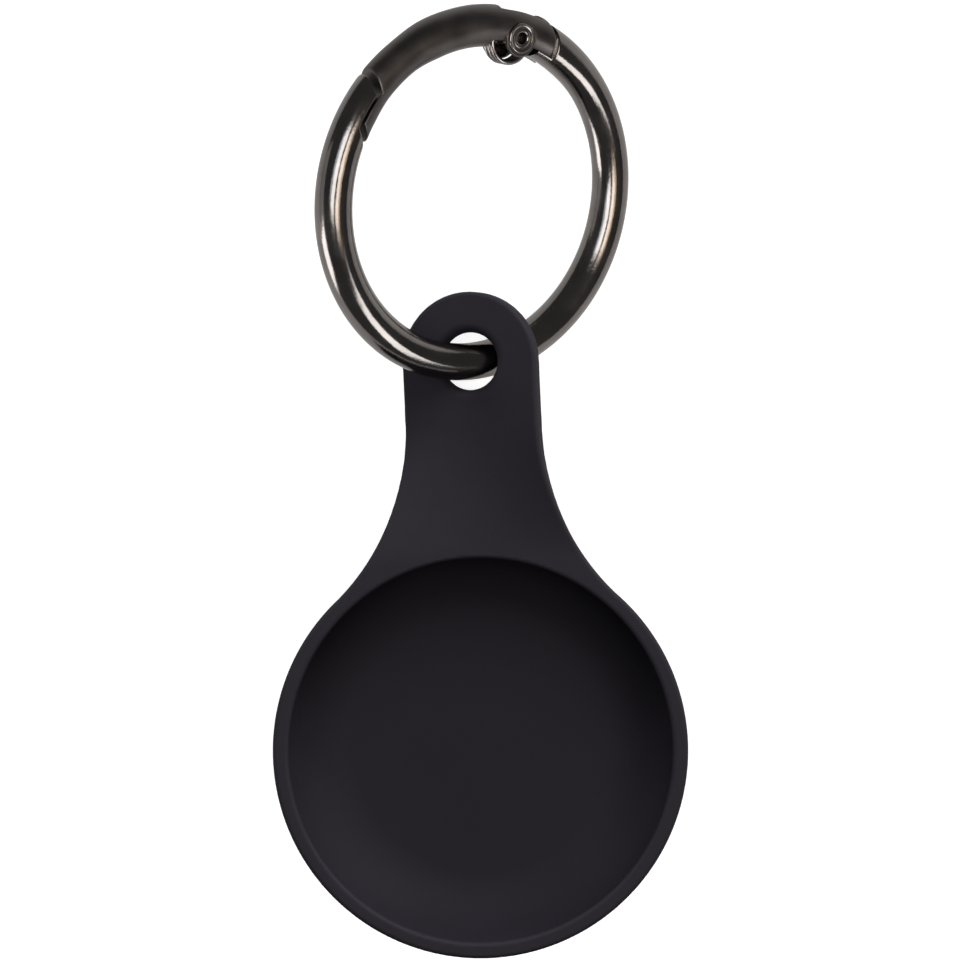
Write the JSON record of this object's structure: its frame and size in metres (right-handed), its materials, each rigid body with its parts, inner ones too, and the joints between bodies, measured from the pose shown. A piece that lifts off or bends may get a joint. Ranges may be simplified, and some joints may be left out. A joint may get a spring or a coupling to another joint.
{
  "type": "tracker tag holder",
  "caption": "Soft one-piece holder with a dished round pocket for a tracker disc and a flat strap, hung on a sprung gate ring that threads the strap's hole.",
  "frame": {"origin": "centre of the pocket's flat back face, on the pocket's axis", "axes": "+Z out of the pocket's mouth, +Y from the pocket along the strap towards the ring, +X to the right seen from the front"},
  "size_m": [0.034, 0.0777, 0.0209],
  "materials": {
    "silicone": "matte",
    "ring_metal": "polished dark nickel",
    "gate_metal": "satin dark nickel",
    "rivet_metal": "polished",
    "spring_steel": "bright"
  },
  "bodies": {
    "holder": {"holder": "silicone"},
    "ring": {"ring_body": "ring_metal", "torsion_spring": "spring_steel"},
    "gate": {"gate": "gate_metal", "hinge_rivet": "rivet_metal"}
  },
  "joints": [
    {"name": "ring_turn", "type": "hinge", "parent": "holder", "child": "ring", "pos_m": [-0.00047, 0.04546, 0.01099], "axis": [0.577, -0.1852, 0.7955], "range_deg": [-125, 95]},
    {"name": "gate_hinge", "type": "hinge", "parent": "ring", "child": "gate", "pos_m": [0.00231, 0.0583, 0.01196], "axis": [0.577, -0.1852, 0.7955], "range_deg": [0, 38], "stiffness_Nm_per_rad": 0.03, "springref_deg": -28.65, "deforming": ["torsion_spring"]}
  ]
}
